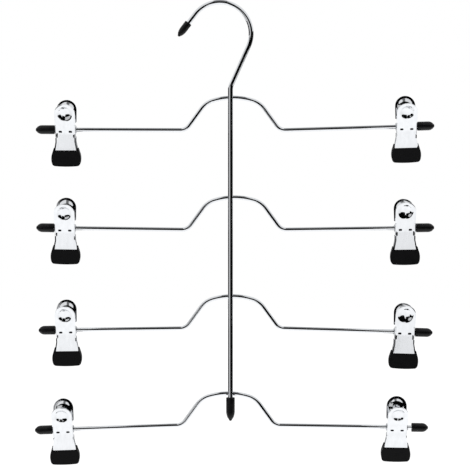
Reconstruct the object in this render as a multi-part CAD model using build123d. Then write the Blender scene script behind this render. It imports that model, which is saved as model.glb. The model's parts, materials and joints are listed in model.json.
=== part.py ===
from build123d import *
import math
import os

# Multi tier trouser hanger, millimetres. X runs along the arms, Y to the back and Z up.
# The origin is the seat of the hook: the inside top of its bend, where it rests on a rail.

# Spine: one wire that makes the hook, the neck and the upright
SPINE_WIRE = 4.0
HOOK_RADIUS = 25.0
HOOK_END_TURN = 142.5
HOOK_NECK_TURN = -24.0
HOOK_TAIL = 18.5
NECK_BEND_RADIUS = 10.0
SPINE_OFFSET = 8.45
SPINE_END_RUN = 18.3

# Arms: four cross wires, each with a raised arch welded behind the spine
ARM_WIRE = 3.5
WELD_SINK = 0.15
CROWN_RADIUS = 56.0
CROWN_TURN = 16.5
SHOULDER_RADIUS = 18.0
FLANK_TURN = 54.0
FLANK_RUN = 16.4
FOOT_RADIUS = 9.0
ARM_REACH = 160.0
FIRST_CROWN_DROP = 74.0
TIER_PITCH = 79.4
CROWN_DROP_SHARES = (0.0, 1.007, 2.01, 3.0)
CROWN_OFFSET_SHARES = (0.48, 0.78, 0.35, -0.4)
LEFT_REACH_SHARES = (0.989, 0.996, 0.976, 0.978)
RIGHT_REACH_SHARES = (1.011, 1.005, 1.01, 1.008)
LEFT_SLOPE_ANGLES = (0.2, 0.8, -0.8, -2.0)
RIGHT_SLOPE_ANGLES = (1.7, 0.8, -1.7, -0.9)

# Black caps pushed over the wire ends
CAP_FIT = 0.05
END_CAP_LENGTH = 14.1
END_CAP_RADIUS = 3.6
END_CAP_TIP_RADIUS = 1.5
END_CAP_NOSE = 5.0
LEFT_CAP_SHARES = (1.082, 1.025, 0.95, 1.0)
RIGHT_CAP_SHARES = (0.972, 1.043, 0.993, 0.95)
HOOK_CAP_LENGTH = 13.5
HOOK_CAP_RADIUS = 2.95
HOOK_CAP_TIP_RADIUS = 1.2
HOOK_CAP_NOSE = 7.0
FOOT_CAP_LENGTH = 19.0
FOOT_CAP_RADIUS = 3.5
FOOT_CAP_TIP_RADIUS = 1.3
FOOT_CAP_NOSE = 8.0
CAP_END_WALL = 3.5
CAP_EDGE = 0.4
CAP_NOSE_WIDTH_SHARE = 0.62
CAP_NOSE_LENGTH_SHARE = 0.56
CAP_BALL_SHARE = 1.25

# Clips: two sprung leaves on a hollow rivet that slides and turns on the arm
CLIP_GAP = 0.3
PARKED_SHORT = 3.0
LEFT_TILT_ANGLES = (10.6, 12.4, 10.1, 12.4)
RIGHT_TILT_ANGLES = (17.4, 5.1, 0.8, 16.0)
SHEET = 0.8
LEAF_WIDTH = 16.3
HANDLE_SPLAY = 17.2
HANDLE_LENGTH = 25.96
LEAF_STANDOFF = 4.32
KNEE_DROP = 1.28
KNEE_TURN = 10.4
KNEE_RADIUS = 2.4
BODY_RUN = 13.4
CREASE_TURN = 3.8
CREASE_RADIUS = 12.0
JAW_RUN = 12.9
FLARE_DROP = 9.5
FLARE_MID_DROP = 17.3
FLARE_END_DROP = 26.0
FLARE_MID_WIDTH = 19.5
FLARE_END_WIDTH = 21.4
JAW_CORNER = 2.0
DIMPLE_RADIUS = 5.7
DIMPLE_DEPTH = 1.6
SLOT_SPACING = 8.0
SLOT_WIDTH = 2.8
SLOT_HEIGHT = 1.7
SLOT_DROP = 0.9

# Ears: side flanges of the leaves that carry the rivet, the back pair inside the front pair
EAR_RADIUS = 3.4
EAR_TOP = 6.5
EAR_BOTTOM = 6.0
EAR_PLAY = 0.2
WAIST_NOTCH = 11.5
NOTCH_CORNER = 0.9
RIVET_RADIUS = 2.35
RIVET_BORE_RADIUS = 1.85
RIVET_FIT = 0.05
RIVET_RIM = 0.35
RIVET_RIM_RADIUS = 3.1
RIVET_RIM_PLAY = 0.1

# Spring: a double torsion spring round the rivet, its bridge on the back handle
SPRING_WIRE = 0.9
COIL_RADIUS = 3.05
COIL_PITCH = 1.36
COIL_WHOLE_TURNS = 2
LEG_SPLAY = 18.6
LEG_LENGTH = 11.0
SPRING_SIDE_PLAY = 0.74
BRIDGE_PLAY = 0.4
SPRING_STEP_SHARE = 0.33
SPRING_APART_SHARE = 2.5

# Boots: the soft dip on the jaws
BOOT_TOP_DROP = 17.3
BOOT_BOTTOM_DROP = 29.8
BOOT_TOP_WIDTH = 21.2
BOOT_WIDTH = 23.9
BOOT_LOW_WIDTH = 23.2
BOOT_LOW_DROP = 29.4
BOOT_BELLY_DROP = 23.8
BOOT_CORNER = 2.8
BOOT_RIM_WIDTH = 1.2
BOOT_RIM_RISE = 2.3
BOOT_SKIN = 0.9
JAW_GAP = 0.3

OVERRUN = 10.0
TIERS = range(len(CROWN_DROP_SHARES))
SIDES = ("left", "right")

# Places that follow from the sizes above
HOOK_CENTRE_DROP = HOOK_RADIUS - SPINE_WIRE / 2
SPINE_FOOT_DROP = FIRST_CROWN_DROP + CROWN_DROP_SHARES[-1] * TIER_PITCH + SPINE_END_RUN
ARM_Y = SPINE_WIRE / 2 + ARM_WIRE / 2 - WELD_SINK
RIVET_LENGTH = LEAF_WIDTH + 2 * (RIVET_RIM_PLAY + RIVET_RIM)
FRONT_EAR_OUTSIDE = LEAF_WIDTH / 2
BACK_EAR_OUTSIDE = FRONT_EAR_OUTSIDE - SHEET - EAR_PLAY
DIMPLE_HEIGHT = HANDLE_LENGTH - KNEE_DROP - LEAF_WIDTH / 2
COIL_TURN = 180 - 2 * LEG_SPLAY + 360 * COIL_WHOLE_TURNS
COIL_OUTSIDE = BACK_EAR_OUTSIDE - SHEET - SPRING_SIDE_PLAY - SPRING_WIRE / 2
BRIDGE_HALF_WIDTH = COIL_OUTSIDE - COIL_PITCH * COIL_TURN / 360
BRIDGE_RUN = DIMPLE_HEIGHT - DIMPLE_RADIUS - BRIDGE_PLAY - SPRING_WIRE / 2 - BRIDGE_HALF_WIDTH


def walk(start, heading, steps):
    """Points along a wire bent in a plane: a step is a run, or a bend (radius, turn)."""
    x, z = start
    marks = []
    for step in steps:
        radius, turn = step if isinstance(step, tuple) else (0, 0)
        samples = []
        for part in (0, 0.5, 1):
            angle = math.radians(heading + turn * part)
            if turn:
                side = math.copysign(radius, turn)
                first = math.radians(heading)
                dx = side * (math.sin(angle) - math.sin(first))
                dz = side * (math.cos(first) - math.cos(angle))
            else:
                dx, dz = step * part * math.cos(angle), step * part * math.sin(angle)
            samples.append((x + dx, z + dz, angle))
        marks.append((samples, turn != 0))
        x, z = samples[-1][:2]
        heading += turn
    return marks


def trace(marks, place, shift=0):
    """Edges along the marks, moved sideways by the shift and set in space by the place function."""
    edges = []
    for samples, bent in marks:
        points = [place(x - shift * math.sin(a), z + shift * math.cos(a)) for x, z, a in samples]
        edges.append(ThreePointArc(*points).edge() if bent else Line(points[0], points[-1]).edge())
    return edges


def wire_along(edges, diameter):
    """A round wire swept along the edges."""
    path = Wire(edges)
    start = Plane(origin=path @ 0, z_dir=path % 0)
    return sweep(start * Circle(diameter / 2), path=path).solid()


def band(marks, thickness, width):
    """A bent strip of sheet: its side profile in Y and Z, extruded along X on both sides."""
    inner = trace(marks, lambda y, z: (0, y, z), thickness / 2)
    outer = trace(marks, lambda y, z: (0, y, z), -thickness / 2)
    ends = [Line(inner[0] @ 0, outer[0] @ 0).edge(), Line(inner[-1] @ 1, outer[-1] @ 1).edge()]
    face = Face(Wire(inner + outer + ends))
    return extrude(face, amount=width / 2, both=True).solid()


def cap(length, radius, tip_radius, nose, wire_diameter):
    """A blind cap from z = 0 to its tip at z = length, bored for the wire."""
    shoulder = length - nose
    tip = length - tip_radius / 2
    bore = wire_diameter / 2 + CAP_FIT
    depth = length - CAP_END_WALL
    middle = (
        tip_radius + (radius - tip_radius) * CAP_NOSE_WIDTH_SHARE,
        shoulder + (nose - tip_radius) * CAP_NOSE_LENGTH_SHARE,
    )
    ball = tip_radius * CAP_BALL_SHARE
    half_turn = math.asin(tip_radius / ball) / 2
    tip_middle = (ball * math.sin(half_turn), length - ball + ball * math.cos(half_turn))
    wall = [(0, depth), (bore, depth), (bore, 0), (radius - CAP_EDGE, 0), (radius, CAP_EDGE)]
    with BuildPart() as body:
        with BuildSketch(Plane.XZ):
            with BuildLine():
                Polyline(*wall, (radius, shoulder))
                ThreePointArc((radius, shoulder), middle, (tip_radius, tip))
                ThreePointArc((tip_radius, tip), tip_middle, (0, length))
                Line((0, length), (0, depth))
            make_face()
        revolve(axis=Axis.Z)
    return body.part.solid()


def spine_marks():
    """The spine wire from its foot up the neck and round the hook to its tip."""
    neck_lean = -HOOK_NECK_TURN
    neck_x = HOOK_RADIUS * math.cos(math.radians(neck_lean))
    neck_drop = HOOK_CENTRE_DROP + HOOK_RADIUS * math.sin(math.radians(neck_lean))
    corner_drop = neck_drop + (neck_x - SPINE_OFFSET) / math.tan(math.radians(neck_lean))
    neck_run = math.hypot(neck_x - SPINE_OFFSET, corner_drop - neck_drop)
    trim = NECK_BEND_RADIUS * math.tan(math.radians(neck_lean / 2))
    steps = [
        SPINE_FOOT_DROP - corner_drop - trim,
        (NECK_BEND_RADIUS, -neck_lean),
        neck_run - trim,
        (HOOK_RADIUS, HOOK_END_TURN + neck_lean),
        HOOK_TAIL,
    ]
    return walk((SPINE_OFFSET, -SPINE_FOOT_DROP), 90, steps)


def crown(tier):
    """Where the middle of a tier's arch lies."""
    x = SPINE_OFFSET + CROWN_OFFSET_SHARES[tier] * SPINE_WIRE
    return x, -FIRST_CROWN_DROP - CROWN_DROP_SHARES[tier] * TIER_PITCH


def arm_half(tier, side, length):
    """Marks of half an arm, from the crown out to the left (-1) or the right (+1)."""
    slope = slope_of(tier, side)
    steps = [
        (CROWN_RADIUS, -CROWN_TURN),
        (SHOULDER_RADIUS, CROWN_TURN - FLANK_TURN),
        FLANK_RUN,
        (FOOT_RADIUS, FLANK_TURN + slope),
        length,
    ]
    return walk((0, 0), 0, steps)


def slope_of(tier, side):
    """How steeply an arm rises towards its end."""
    return (LEFT_SLOPE_ANGLES if side < 0 else RIGHT_SLOPE_ANGLES)[tier]


def cap_length(tier, side):
    """The length of an arm's cap: they are dipped by hand and vary a little."""
    return END_CAP_LENGTH * (LEFT_CAP_SHARES if side < 0 else RIGHT_CAP_SHARES)[tier]


def arm_point(tier, side, reach):
    """A point on the straight of an arm, by its distance from the crown along X, and its direction."""
    slope = math.radians(slope_of(tier, side))
    foot_x, foot_z = arm_half(tier, side, 0)[-2][0][-1][:2]
    crown_x, crown_z = crown(tier)
    z = crown_z + foot_z + (reach - foot_x) * math.tan(slope)
    return Vector(crown_x + side * reach, ARM_Y, z), Vector(side * math.cos(slope), 0, math.sin(slope))


def tip_reach(tier, side):
    """How far an arm's cap reaches from the crown along X."""
    return ARM_REACH * (LEFT_REACH_SHARES if side < 0 else RIGHT_REACH_SHARES)[tier]


def clip_reach(tier, side):
    """How far a clip stands from the crown: against its cap, but for the last one, parked short."""
    parked = PARKED_SHORT if (tier, side) == (TIERS[-1], 1) else 0
    return tip_reach(tier, side) - cap_length(tier, side) - CLIP_GAP - RIVET_LENGTH / 2 - parked


def clip_travel(tier, side):
    """How far a clip slides inwards before it meets the foot of the arch, and outwards to its cap."""
    foot_x = arm_half(tier, side, 0)[-2][0][-1][0]
    parked = PARKED_SHORT if (tier, side) == (TIERS[-1], 1) else 0
    return clip_reach(tier, side) - foot_x - BOOT_WIDTH / 2 - CLIP_GAP, parked


def clip_tilt(tier, side):
    """How far a clip hangs turned on its arm, its handles to the front."""
    return (LEFT_TILT_ANGLES if side < 0 else RIGHT_TILT_ANGLES)[tier]


def clip_place(tier, side):
    """The place of a clip: its X along the arm to the right, its Z up, before it is tilted."""
    point, along = arm_point(tier, side, clip_reach(tier, side))
    rightwards = along * side
    frame = Plane(origin=point, x_dir=rightwards, z_dir=(-rightwards.Z, 0, rightwards.X))
    return Location(frame) * Rotation(clip_tilt(tier, side), 0, 0)


def make_arm(tier):
    """One arm: the arch in the middle and a straight run into each cap."""
    crown_x, crown_z = crown(tier)
    edges = []
    for side in (-1, 1):
        foot_x = arm_half(tier, side, 0)[-2][0][-1][0]
        wire_reach = tip_reach(tier, side) - CAP_END_WALL - CAP_FIT - foot_x
        run = wire_reach / math.cos(math.radians(slope_of(tier, side)))
        marks = arm_half(tier, side, run)
        half = trace(marks, lambda x, z: (crown_x + side * x, ARM_Y, crown_z + z))
        edges += half[::-1] if side < 0 else half
    return wire_along(edges, ARM_WIRE)


def make_end_caps(tier):
    """The two caps of an arm, one solid each."""
    caps = []
    for side in (-1, 1):
        length = cap_length(tier, side)
        point, along = arm_point(tier, side, tip_reach(tier, side) - length)
        body = cap(length, END_CAP_RADIUS, END_CAP_TIP_RADIUS, END_CAP_NOSE, ARM_WIRE)
        caps.append(Plane(origin=point, x_dir=(0, 1, 0), z_dir=along) * body)
    return Compound(children=caps)


def leaf_marks():
    """The side profile of the back leaf, from the tip of its handle down to the jaw."""
    splay = math.radians(HANDLE_SPLAY)
    along = HANDLE_LENGTH - KNEE_DROP
    tip_y = LEAF_STANDOFF * math.cos(splay) + along * math.sin(splay)
    tip_z = -LEAF_STANDOFF * math.sin(splay) + along * math.cos(splay)
    knee_trim = KNEE_RADIUS * math.tan(math.radians(KNEE_TURN / 2))
    crease_trim = CREASE_RADIUS * math.tan(math.radians(CREASE_TURN / 2))
    steps = [
        HANDLE_LENGTH - knee_trim,
        (KNEE_RADIUS, KNEE_TURN),
        BODY_RUN - knee_trim - crease_trim,
        (CREASE_RADIUS, CREASE_TURN),
        JAW_RUN - crease_trim,
    ]
    return walk((tip_y, tip_z), -90 - HANDLE_SPLAY, steps)


def tangent_points(point):
    """Where the two tangents from a point touch the round end of an ear."""
    away = math.hypot(*point)
    middle = math.atan2(point[1], point[0])
    spread = math.acos(EAR_RADIUS / away)
    angles = (middle - spread, middle + spread)
    return [(EAR_RADIUS * math.cos(a), EAR_RADIUS * math.sin(a)) for a in angles]


def ear_plate():
    """The side outline of an ear on the back leaf: a tongue from the sheet round the rivet."""
    splay = math.radians(HANDLE_SPLAY)
    top = (
        LEAF_STANDOFF * math.cos(splay) + EAR_TOP * math.sin(splay),
        -LEAF_STANDOFF * math.sin(splay) + EAR_TOP * math.cos(splay),
    )
    (bottom_y, bottom_z, _) = leaf_marks()[1][0][-1]
    lean = math.radians(HANDLE_SPLAY - KNEE_TURN)
    drop = EAR_BOTTOM + bottom_z
    bottom = (bottom_y + drop * math.tan(lean), -EAR_BOTTOM)
    tongue = [top, tangent_points(top)[1], tangent_points(bottom)[0], bottom, (bottom_y, bottom_z)]
    face = make_face(Polyline(*[(0, y, z) for y, z in tongue], close=True))
    return face + Plane.YZ * Circle(EAR_RADIUS)


def make_leaf(front):
    """A leaf of the clip, bent from sheet: handle, knee, body and jaw, with its two ears."""
    sheet = band(leaf_marks(), SHEET, FLARE_END_WIDTH + OVERRUN)
    splay = math.radians(HANDLE_SPLAY)
    (tip_y, tip_z, _) = leaf_marks()[0][0][0]
    round_y = tip_y - LEAF_WIDTH / 2 * math.sin(splay)
    round_z = tip_z - LEAF_WIDTH / 2 * math.cos(splay)
    outwards = (0, math.cos(splay), -math.sin(splay))
    round_end = Plane(origin=(0, round_y, round_z), x_dir=(1, 0, 0), z_dir=outwards)
    straight = HANDLE_LENGTH - LEAF_WIDTH / 2 - KNEE_DROP
    outline = Circle(LEAF_WIDTH / 2) + Pos(0, straight / 2) * Rectangle(LEAF_WIDTH, straight)
    handle = extrude(round_end * outline, amount=OVERRUN / 2, both=True)
    jaw_drop = -leaf_marks()[-1][0][-1][1]
    flare = [
        (LEAF_WIDTH / 2, SHEET),
        (LEAF_WIDTH / 2, -FLARE_DROP),
        (FLARE_MID_WIDTH / 2, -FLARE_MID_DROP),
        (FLARE_END_WIDTH / 2, -FLARE_END_DROP),
        (FLARE_END_WIDTH / 2, -jaw_drop),
    ]
    mirrored = [(-x, z) for x, z in reversed(flare)]
    flat_outline = make_face(Polyline(*flare, *mirrored, close=True))
    corners = flat_outline.vertices().sort_by(Axis.Y)[:2]
    body_outline = Plane.XZ * fillet(corners, JAW_CORNER)
    body = extrude(body_outline, amount=OVERRUN * 2, both=True)
    leaf = sheet & (handle + body)
    leaf = press_dimple(leaf, round_end)
    for x in (-SLOT_SPACING / 2, SLOT_SPACING / 2):
        slot = SlotOverall(SLOT_WIDTH, SLOT_HEIGHT)
        leaf -= extrude(Plane.XZ * (Pos(x, -SLOT_DROP) * slot), amount=OVERRUN, both=True)
    ear_outside = FRONT_EAR_OUTSIDE if front else BACK_EAR_OUTSIDE
    if not front:
        for side in (-1, 1):
            notch = RectangleRounded(OVERRUN, WAIST_NOTCH, NOTCH_CORNER)
            middle = Pos(side * (ear_outside + OVERRUN / 2), (EAR_TOP - EAR_BOTTOM) / 2)
            leaf -= extrude(Plane.XZ * (middle * notch), amount=OVERRUN * 2, both=True)
    for side in (-1, 1):
        plate = extrude(ear_plate(), amount=SHEET, dir=(1, 0, 0))
        inner_face = ear_outside - SHEET if side > 0 else -ear_outside
        leaf += Pos(inner_face, 0, 0) * plate
    hole = Cylinder(RIVET_RADIUS + RIVET_FIT, LEAF_WIDTH + OVERRUN, rotation=(0, 90, 0))
    leaf -= hole
    leaf = leaf.solid()
    return leaf.mirror(Plane.XZ) if front else leaf


def press_dimple(leaf, round_end):
    """A round thumb dimple pressed inwards, concentric with the end of the handle."""
    ball = (DIMPLE_RADIUS**2 + DIMPLE_DEPTH**2) / (2 * DIMPLE_DEPTH)
    centre = round_end * Pos(0, 0, SHEET / 2 + ball - DIMPLE_DEPTH)
    floor = round_end * Pos(0, 0, -SHEET / 2 - DIMPLE_DEPTH / 2)
    slab = floor * Box(LEAF_WIDTH, LEAF_WIDTH, DIMPLE_DEPTH)
    bump = (centre * Sphere(ball + SHEET)) & slab
    return leaf + bump - centre * Sphere(ball)


def make_boot(leaf, front):
    """The soft boot dipped over a jaw, with a rim up each side, hollow where the jaw fills it."""
    marks = leaf_marks()
    thick = band(marks, SHEET + 2 * BOOT_SKIN, BOOT_WIDTH + OVERRUN)
    (jaw_end_y, jaw_end_z, _) = marks[-1][0][-1]
    end_height = 2 * (BOOT_BOTTOM_DROP + jaw_end_z + SHEET)
    below = Pos(0, jaw_end_y, -BOOT_BOTTOM_DROP) * Box(
        BOOT_WIDTH + OVERRUN, SHEET + 2 * BOOT_SKIN, end_height
    )
    top, belly, low = BOOT_TOP_WIDTH / 2, BOOT_WIDTH / 2, BOOT_LOW_WIDTH / 2
    rim_top = -BOOT_TOP_DROP + BOOT_RIM_RISE
    flat, eighth = low - BOOT_CORNER, BOOT_CORNER * math.sqrt(0.5)
    with BuildSketch(Plane.XZ) as outline:
        with BuildLine():
            ThreePointArc((flat, -BOOT_LOW_DROP), (0, -BOOT_BOTTOM_DROP), (-flat, -BOOT_LOW_DROP))
            for side in (-1, 1):
                ThreePointArc(
                    (side * flat, -BOOT_LOW_DROP),
                    (side * (flat + eighth), -BOOT_LOW_DROP + BOOT_CORNER - eighth),
                    (side * low, -BOOT_LOW_DROP + BOOT_CORNER),
                )
                ThreePointArc(
                    (side * low, -BOOT_LOW_DROP + BOOT_CORNER),
                    (side * belly, -BOOT_BELLY_DROP),
                    (side * top, -BOOT_TOP_DROP),
                )
                Polyline(
                    (side * top, -BOOT_TOP_DROP),
                    (side * (top - BOOT_RIM_WIDTH / 3), rim_top),
                    (side * (top - BOOT_RIM_WIDTH * 2 / 3), rim_top),
                    (side * (top - BOOT_RIM_WIDTH), -BOOT_TOP_DROP),
                )
            Line((BOOT_RIM_WIDTH - top, -BOOT_TOP_DROP), (top - BOOT_RIM_WIDTH, -BOOT_TOP_DROP))
        make_face()
    prism = extrude(outline.sketch, amount=OVERRUN * 2, both=True)
    boot = (thick + below) & prism
    room = Pos(0, JAW_GAP / 2 + OVERRUN, -BOOT_BOTTOM_DROP) * Box(
        BOOT_WIDTH + OVERRUN, 2 * OVERRUN, 2 * BOOT_BOTTOM_DROP
    )
    boot = (boot & room).solid()
    if front:
        boot = boot.mirror(Plane.XZ)
    return (boot - leaf).solid()


def make_rivet():
    """The hollow rivet, its two ends rolled over outside the ears."""
    end = RIVET_LENGTH / 2
    under_rim = end - RIVET_RIM
    half = [
        (0, RIVET_BORE_RADIUS),
        (0, RIVET_RADIUS),
        (under_rim, RIVET_RADIUS),
        (under_rim, RIVET_RIM_RADIUS),
        (under_rim + RIVET_RIM / 2, RIVET_RIM_RADIUS),
        (end, RIVET_RIM_RADIUS - RIVET_RIM),
        (end, RIVET_BORE_RADIUS),
    ]
    one_end = revolve(make_face(Polyline(*half, close=True)), axis=Axis.X)
    return (one_end + mirror(one_end, about=Plane.YZ)).solid()


def biarc(start, start_dir, end, end_dir):
    """Two arcs that join two points with the given directions, as one smooth piece of wire."""
    chord = end - start
    both = start_dir + end_dir
    spread = 2 * (1 - start_dir.dot(end_dir))
    reach = (math.sqrt(chord.dot(both) ** 2 + spread * chord.dot(chord)) - chord.dot(both)) / spread
    joint = (start + end + (start_dir - end_dir) * reach) / 2
    joint_dir = (chord - both * reach).normalized()
    first = Edge.make_tangent_arc(start, start_dir, joint)
    second = Edge.make_tangent_arc(joint, joint_dir, end)
    return [first, second]


def coil_point(turn, x):
    """A point of the coil and its direction, by its angle round the rivet and its place along it."""
    angle = math.radians(turn)
    point = Vector(x, COIL_RADIUS * math.cos(angle), COIL_RADIUS * math.sin(angle))
    slope = COIL_PITCH / (2 * math.pi * COIL_RADIUS)
    return point, Vector(-slope, -math.sin(angle), math.cos(angle)).normalized()


def half_spring():
    """One leg, its coil and half the bridge, from the leg's tip to the middle of the bridge."""
    first_turn = 180 + LEG_SPLAY
    steps = 2 + 4 * COIL_WHOLE_TURNS
    turns = [first_turn + COIL_TURN * n / steps for n in range(steps + 1)]
    places = [COIL_OUTSIDE - COIL_PITCH * (turn - first_turn) / 360 for turn in turns]
    marks = [coil_point(turn, x) for turn, x in zip(turns, places)]
    start, start_dir = marks[0]
    edges = [Line(start - start_dir * LEG_LENGTH, start).edge()]
    for (here, here_dir), (there, there_dir) in zip(marks, marks[1:]):
        edges += biarc(here, here_dir, there, there_dir)
    end, end_dir = marks[-1]
    straight = end + end_dir * BRIDGE_RUN
    edges.append(Line(end, straight).edge())
    top_y, top_z = end_dir.Y, end_dir.Z
    up = Vector(0, top_y, top_z).normalized()
    crest = Vector(0, straight.Y, straight.Z) + up * straight.X
    edges += biarc(straight, end_dir, crest, Vector(-1, 0, 0))
    return edges


def make_spring():
    """The double torsion spring as one unbroken wire, with its least gap to itself printed."""
    half = half_spring()
    other = [edge.mirror(Plane.YZ) for edge in reversed(half)]
    path = Wire(half + other)
    start = Plane(origin=half[0] @ 0, z_dir=half[0] % 0)
    spring = sweep(start * Circle(SPRING_WIRE / 2), path=path).solid()
    print("spring: least gap to itself %.2f mm" % least_gap(path), "volume against wire",
          round(spring.volume / (path.length * math.pi * SPRING_WIRE**2 / 4), 4))
    return spring


def least_gap(path):
    """The least clear gap between stretches of the wire that aren't next to each other."""
    count = int(path.length / (SPRING_WIRE * SPRING_STEP_SHARE))
    points = [path @ (n / count) for n in range(count + 1)]
    apart = int(count * SPRING_APART_SHARE * SPRING_WIRE / path.length) + 1
    gaps = [
        (points[n] - points[m]).length
        for n in range(count + 1)
        for m in range(n + apart, count + 1)
    ]
    return min(gaps) - SPRING_WIRE


def make_spine():
    """The spine and hook in one wire."""
    return wire_along(trace(spine_marks(), lambda x, z: (x, 0, z)), SPINE_WIRE)


def make_hook_cap():
    """The cap on the tip of the hook."""
    x, z, angle = spine_marks()[-1][0][-1]
    along = Vector(math.cos(angle), 0, math.sin(angle))
    depth = HOOK_CAP_LENGTH - CAP_END_WALL - CAP_FIT
    body = cap(HOOK_CAP_LENGTH, HOOK_CAP_RADIUS, HOOK_CAP_TIP_RADIUS, HOOK_CAP_NOSE, SPINE_WIRE)
    return Plane(origin=Vector(x, 0, z) - along * depth, x_dir=(0, 1, 0), z_dir=along) * body


def make_foot_cap():
    """The cap on the foot of the spine."""
    depth = FOOT_CAP_LENGTH - CAP_END_WALL - CAP_FIT
    body = cap(FOOT_CAP_LENGTH, FOOT_CAP_RADIUS, FOOT_CAP_TIP_RADIUS, FOOT_CAP_NOSE, SPINE_WIRE)
    top = (SPINE_OFFSET, 0, -SPINE_FOOT_DROP + depth)
    return Plane(origin=top, x_dir=(1, 0, 0), z_dir=(0, 0, -1)) * body


def make_clip():
    """The six pieces of a clip about its own pivot."""
    front_leaf, back_leaf = make_leaf(True), make_leaf(False)
    return {
        "rivet": make_rivet(),
        "front_leaf": front_leaf,
        "back_leaf": back_leaf,
        "spring": make_spring(),
        "front_boot": make_boot(front_leaf, True),
        "back_boot": make_boot(back_leaf, False),
    }


def main():
    os.makedirs("parts", exist_ok=True)
    pieces = {
        "spine_hook": make_spine(),
        "hook_cap": make_hook_cap(),
        "spine_foot_cap": make_foot_cap(),
    }
    for tier in TIERS:
        pieces["tier%d_arm" % (tier + 1)] = make_arm(tier)
        pieces["tier%d_end_caps" % (tier + 1)] = make_end_caps(tier)
    clip = make_clip()
    for tier in TIERS:
        for side, name in zip((-1, 1), SIDES):
            place = clip_place(tier, side)
            for piece, solid in clip.items():
                pieces["tier%d_%s_%s" % (tier + 1, name, piece)] = place * solid
    for name, solid in pieces.items():
        export_step(solid, "parts/%s.step" % name)


if __name__ == "__main__":
    main()
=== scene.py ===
"""Surfaces, finishes and stage for a four tier trouser hanger with eight sliding clips."""

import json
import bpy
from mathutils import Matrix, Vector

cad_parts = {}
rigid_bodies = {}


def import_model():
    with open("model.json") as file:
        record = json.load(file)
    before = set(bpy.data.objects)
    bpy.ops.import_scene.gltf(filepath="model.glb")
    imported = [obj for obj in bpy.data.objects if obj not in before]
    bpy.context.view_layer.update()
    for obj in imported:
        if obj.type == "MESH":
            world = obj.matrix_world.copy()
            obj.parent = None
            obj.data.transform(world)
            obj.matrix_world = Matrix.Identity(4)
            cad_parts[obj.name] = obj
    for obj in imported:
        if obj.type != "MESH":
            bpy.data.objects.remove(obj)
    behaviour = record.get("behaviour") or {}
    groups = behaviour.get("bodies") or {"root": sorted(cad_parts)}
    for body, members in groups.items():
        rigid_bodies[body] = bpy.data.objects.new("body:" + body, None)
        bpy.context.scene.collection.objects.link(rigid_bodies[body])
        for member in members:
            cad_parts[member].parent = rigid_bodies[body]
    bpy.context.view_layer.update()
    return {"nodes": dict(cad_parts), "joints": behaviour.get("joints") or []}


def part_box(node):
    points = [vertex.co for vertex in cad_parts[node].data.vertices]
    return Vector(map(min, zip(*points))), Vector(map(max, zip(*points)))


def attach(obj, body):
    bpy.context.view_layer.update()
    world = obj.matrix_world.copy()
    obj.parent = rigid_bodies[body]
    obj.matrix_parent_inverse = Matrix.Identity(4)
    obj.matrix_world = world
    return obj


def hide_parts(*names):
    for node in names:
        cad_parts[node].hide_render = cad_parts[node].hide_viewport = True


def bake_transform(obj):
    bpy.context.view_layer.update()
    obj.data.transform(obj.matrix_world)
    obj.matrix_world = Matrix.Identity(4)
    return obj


bl_info = {
    "name": "Four Tier Trouser Hanger",
    "version": (1, 0, 0),
    "blender": (4, 5, 0),
    "location": "3D View > Sidebar > Hanger",
    "description": "Models the wires, caps, clips and boots of a trouser hanger and its white stage",
    "category": "Add Mesh",
}

from math import atan2, copysign, cos, degrees, hypot, pi, radians, sin, sqrt, tan

import bmesh
import bpy
from bpy.props import FloatProperty, FloatVectorProperty, IntProperty, PointerProperty
from mathutils import Matrix, Vector

for leftover in list(bpy.data.objects):
    bpy.data.objects.remove(leftover)

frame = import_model()

MM = 0.001
SIDES = ("left", "right")
TIERS = (1, 2, 3, 4)
CLIPS = [(tier, side) for tier in TIERS for side in SIDES]
HALVES = ("front", "back")
JOINTS = {joint["name"]: joint for joint in frame["joints"]}

# Places this near lie on one line, and points nearer than the second length become one.
HAIR = 0.01 * MM
WELD = 0.002 * MM

# Edges that turn by less are shaded smooth: on turned pieces, on sheet, and on wire and soft pieces.
# Edges that turn by more than the last angle are rounded.
SMOOTH_TURNED = radians(35)
SMOOTH_SHEET = radians(40)
SMOOTH_SOFT = radians(60)
EDGE_TURN = radians(50)

# The range of a noise pattern's values that is put to use.
NOISE_LOW = 0.3
NOISE_HIGH = 0.7

# Sides of the round pieces, and the turn of one step of a bent wire and of a spring's coil.
WIRE_SIDES = 32
CAP_SIDES = 40
RIVET_SIDES = 32
BEND_STEP = radians(3)
COIL_STEP = radians(15)

# Caps: shape of the nose, how much of it is the ball at its tip, how round the lip is, and how wide
# the last ring is against the tip.
NOSE_STEPS = 8
NOSE_FULLNESS = 0.75
BALL_STEPS = 5
BALL_SHARE = 0.16
LIP_SHARE = 0.3
CAP_END_SHARE = 0.02

# Leaves: the rings of the dimple as shares of its radius, how deep its rim and how full its bowl is.
RING_SHARES = (0.25, 0.45, 0.6, 0.72, 0.82, 0.91, 1.0, 1.08)
RIM_DEPTH_SHARE = 0.09
DIMPLE_FULLNESS = 3.5
CIRCLE_SIDES = 48
# Leaves: rows along the ears, how far the sheet wraps round them, the notches at their ends as a share
# of the sheet, and the steps of the fold, of the jaw's corners and of the slots' round ends.
EAR_SIDES = 24
EAR_ROWS = 16
EAR_WRAP = radians(120)
NOTCH_SHARE = 0.4
FOLD_STEPS = 3
CORNER_STEPS = 3
SLOT_END_STEPS = 5
SLOT_END_SHARE = 0.49

# Boots: the columns as shares of the half width, then where a rim starts, how it tapers and where it
# stands in from the side, in rim widths. The slack is for the points of the grid they start from.
BOOT_COLUMN_SHARES = (-1, -0.885, -0.6, -0.3, 0, 0.3, 0.6, 0.885, 1)
BOOT_CORNER_STEPS = 3
RIM_START_SHARE = 0.88
RIM_TAPER_SHARE = 0.6
RIM_MIDDLE_SHARE = 1.25
GRID_SLACK = 0.001

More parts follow.
